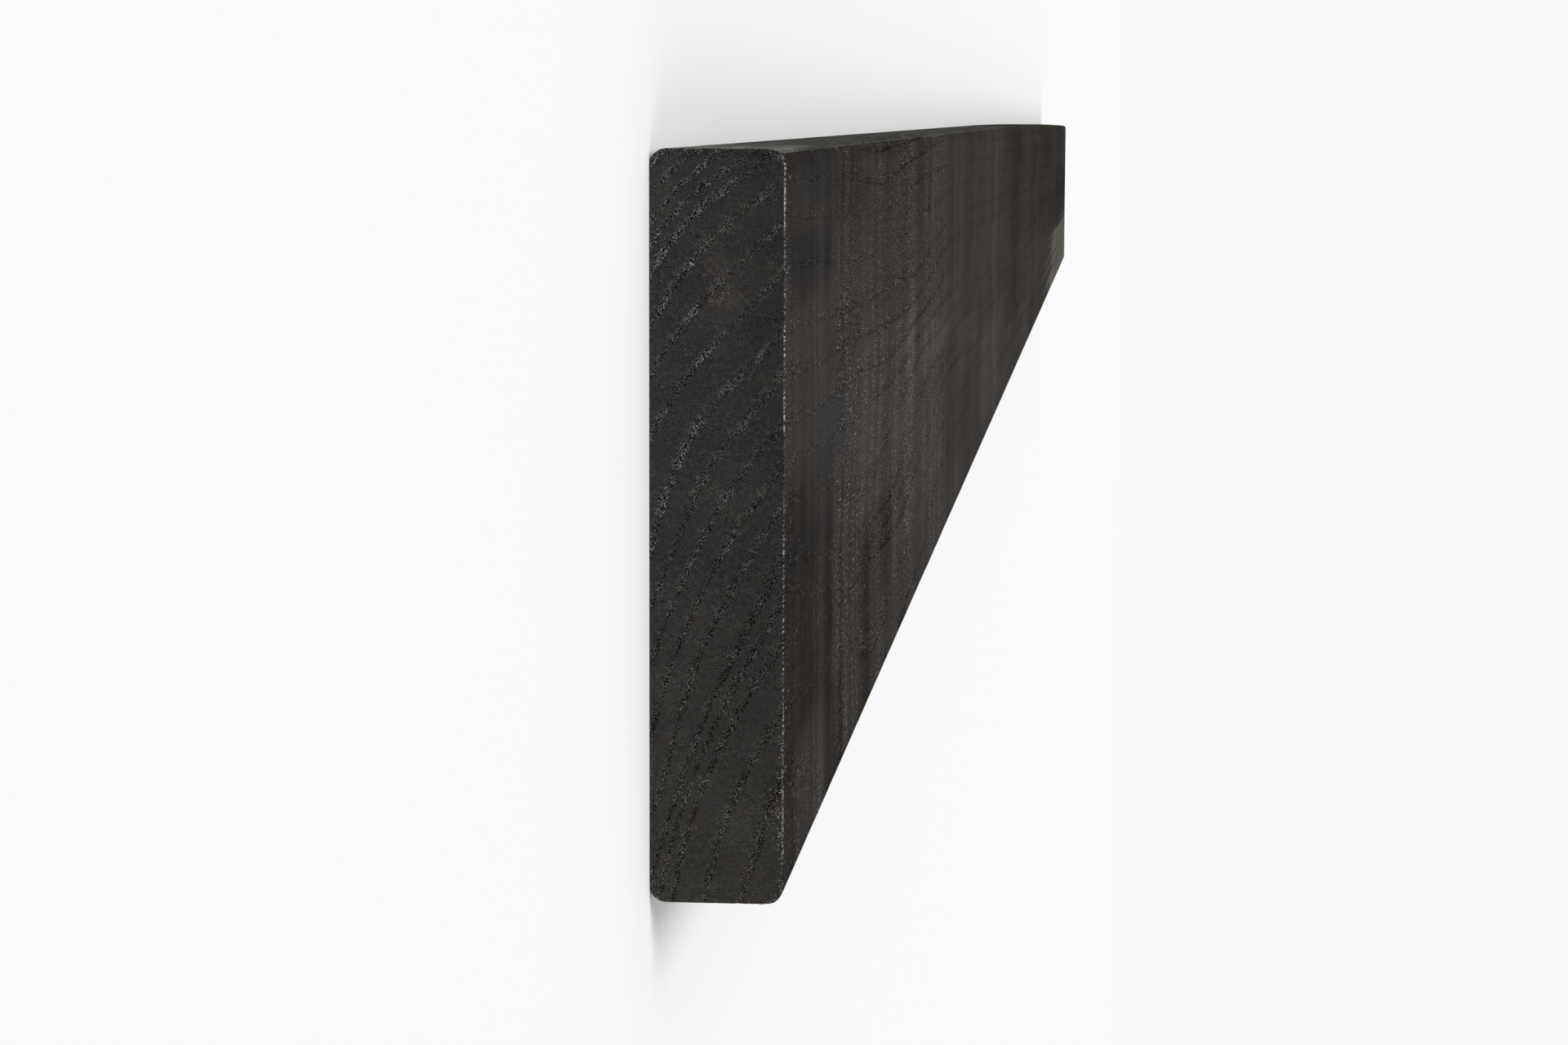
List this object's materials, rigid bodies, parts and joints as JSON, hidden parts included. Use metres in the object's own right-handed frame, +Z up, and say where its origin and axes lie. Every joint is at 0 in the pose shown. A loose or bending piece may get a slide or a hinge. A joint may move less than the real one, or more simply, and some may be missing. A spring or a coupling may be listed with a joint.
{
  "type": "thermally modified ash board",
  "caption": "Dark thermally modified hardwood board of rectangular section, planed on four sides with rounded long edges and square sawn ends, for decking or cladding.",
  "frame": {"origin": "centre of the underside, on the surface that the board lies on", "axes": "+X runs along the board's length, +Y across its width, +Z up through its thickness. The pictured end is the -X end and the pictured wide face is the top, +Z."},
  "size_m": [2.4, 0.112, 0.02],
  "materials": {
    "thermo_ash": "matte"
  },
  "bodies": {
    "root": {"board": "thermo_ash"}
  },
  "joints": []
}
